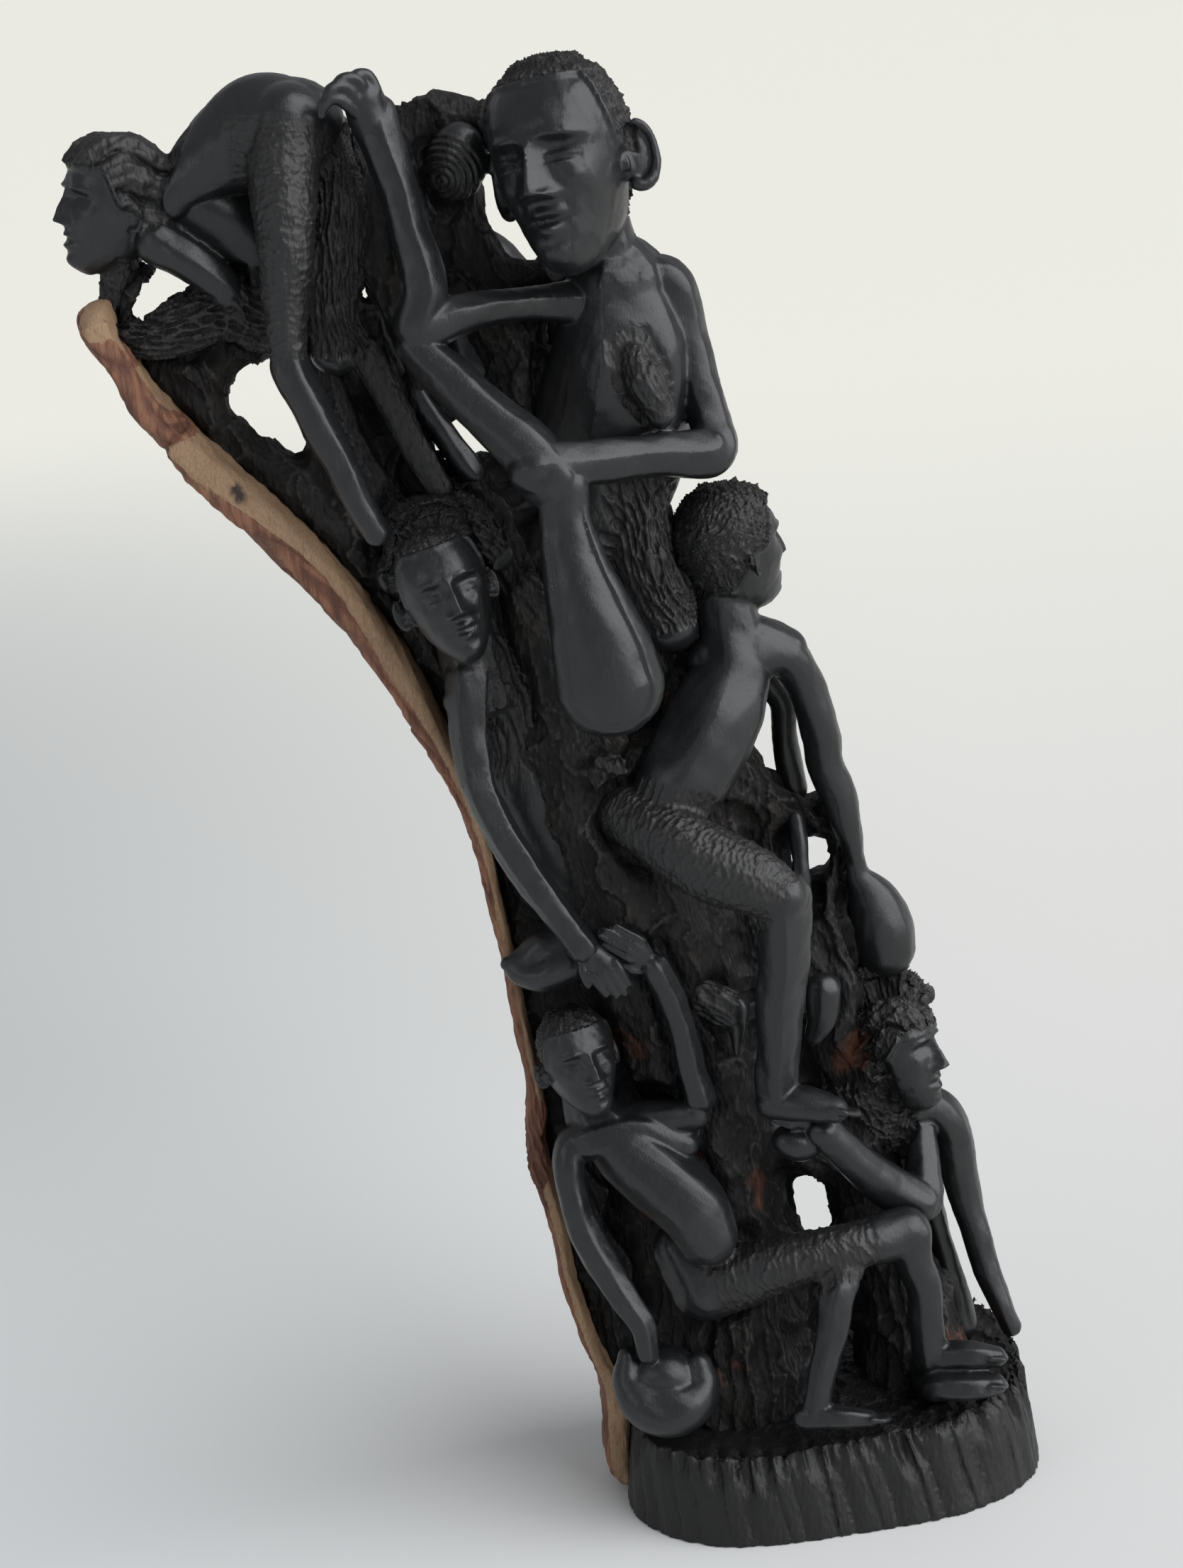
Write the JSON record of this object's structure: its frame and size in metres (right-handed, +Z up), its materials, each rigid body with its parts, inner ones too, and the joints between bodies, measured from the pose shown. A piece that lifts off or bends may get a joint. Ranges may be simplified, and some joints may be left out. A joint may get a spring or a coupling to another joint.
{
  "type": "makonde ujamaa carving",
  "caption": "Leaning openwork family tree of climbing, seated and bending people carved from one dark log, on a fluted foot, with pale sapwood left down one edge.",
  "frame": {"origin": "middle of the fluted foot, on the flat underside", "axes": "+Z up, +X to the right of the carved front, -Y towards the viewer of the front"},
  "size_m": [0.3389, 0.1425, 0.585],
  "materials": {
    "blackwood": "oiled African blackwood, polished people on rough chiselled heartwood",
    "sapwood": "pale raw sapwood under reddish-brown outer wood, left down the left edge of the one piece"
  },
  "bodies": {
    "root": {"carving": "blackwood"}
  },
  "joints": []
}
